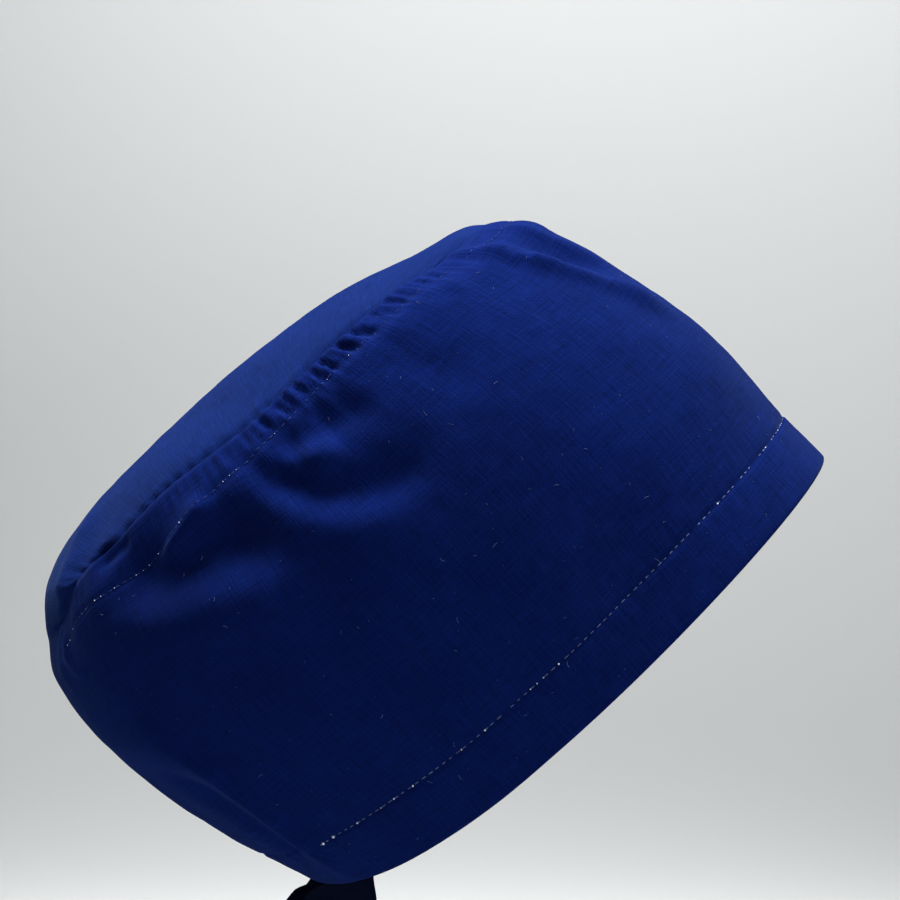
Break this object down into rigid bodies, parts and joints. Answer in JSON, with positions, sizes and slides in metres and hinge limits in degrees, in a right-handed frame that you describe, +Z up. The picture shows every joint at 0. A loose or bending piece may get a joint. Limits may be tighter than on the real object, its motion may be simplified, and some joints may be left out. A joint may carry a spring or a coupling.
{
  "type": "tie-back surgical scrub cap, in its worn form",
  "caption": "Tie-back surgical scrub cap in its worn form: a side band with a turned-up stitched hem, a gathered crown panel and flat cloth ties knotted at the nape.",
  "frame": {"origin": "the seat on the head: a point of the crown panel's inner face on the middle line, where the top of the head carries the cap", "axes": "+X towards the wearer's face, +Y to the wearer's left, +Z up as worn; the cap's own height leans 43.5 degrees back from +Z"},
  "size_m": [0.2616, 0.1751, 0.3528],
  "materials": {
    "band_cloth": "matt navy poplin, fine plain weave",
    "crown_cloth": "matt navy poplin, fine plain weave",
    "tie_cloth": "matt navy poplin, folded flat"
  },
  "bodies": {
    "root": {"side_band": "band_cloth", "crown_panel": "crown_cloth", "tie_right": "tie_cloth", "tie_left": "tie_cloth", "tie_knot": "tie_cloth", "tail_right": "tie_cloth", "tail_left": "tie_cloth"}
  },
  "joints": []
}
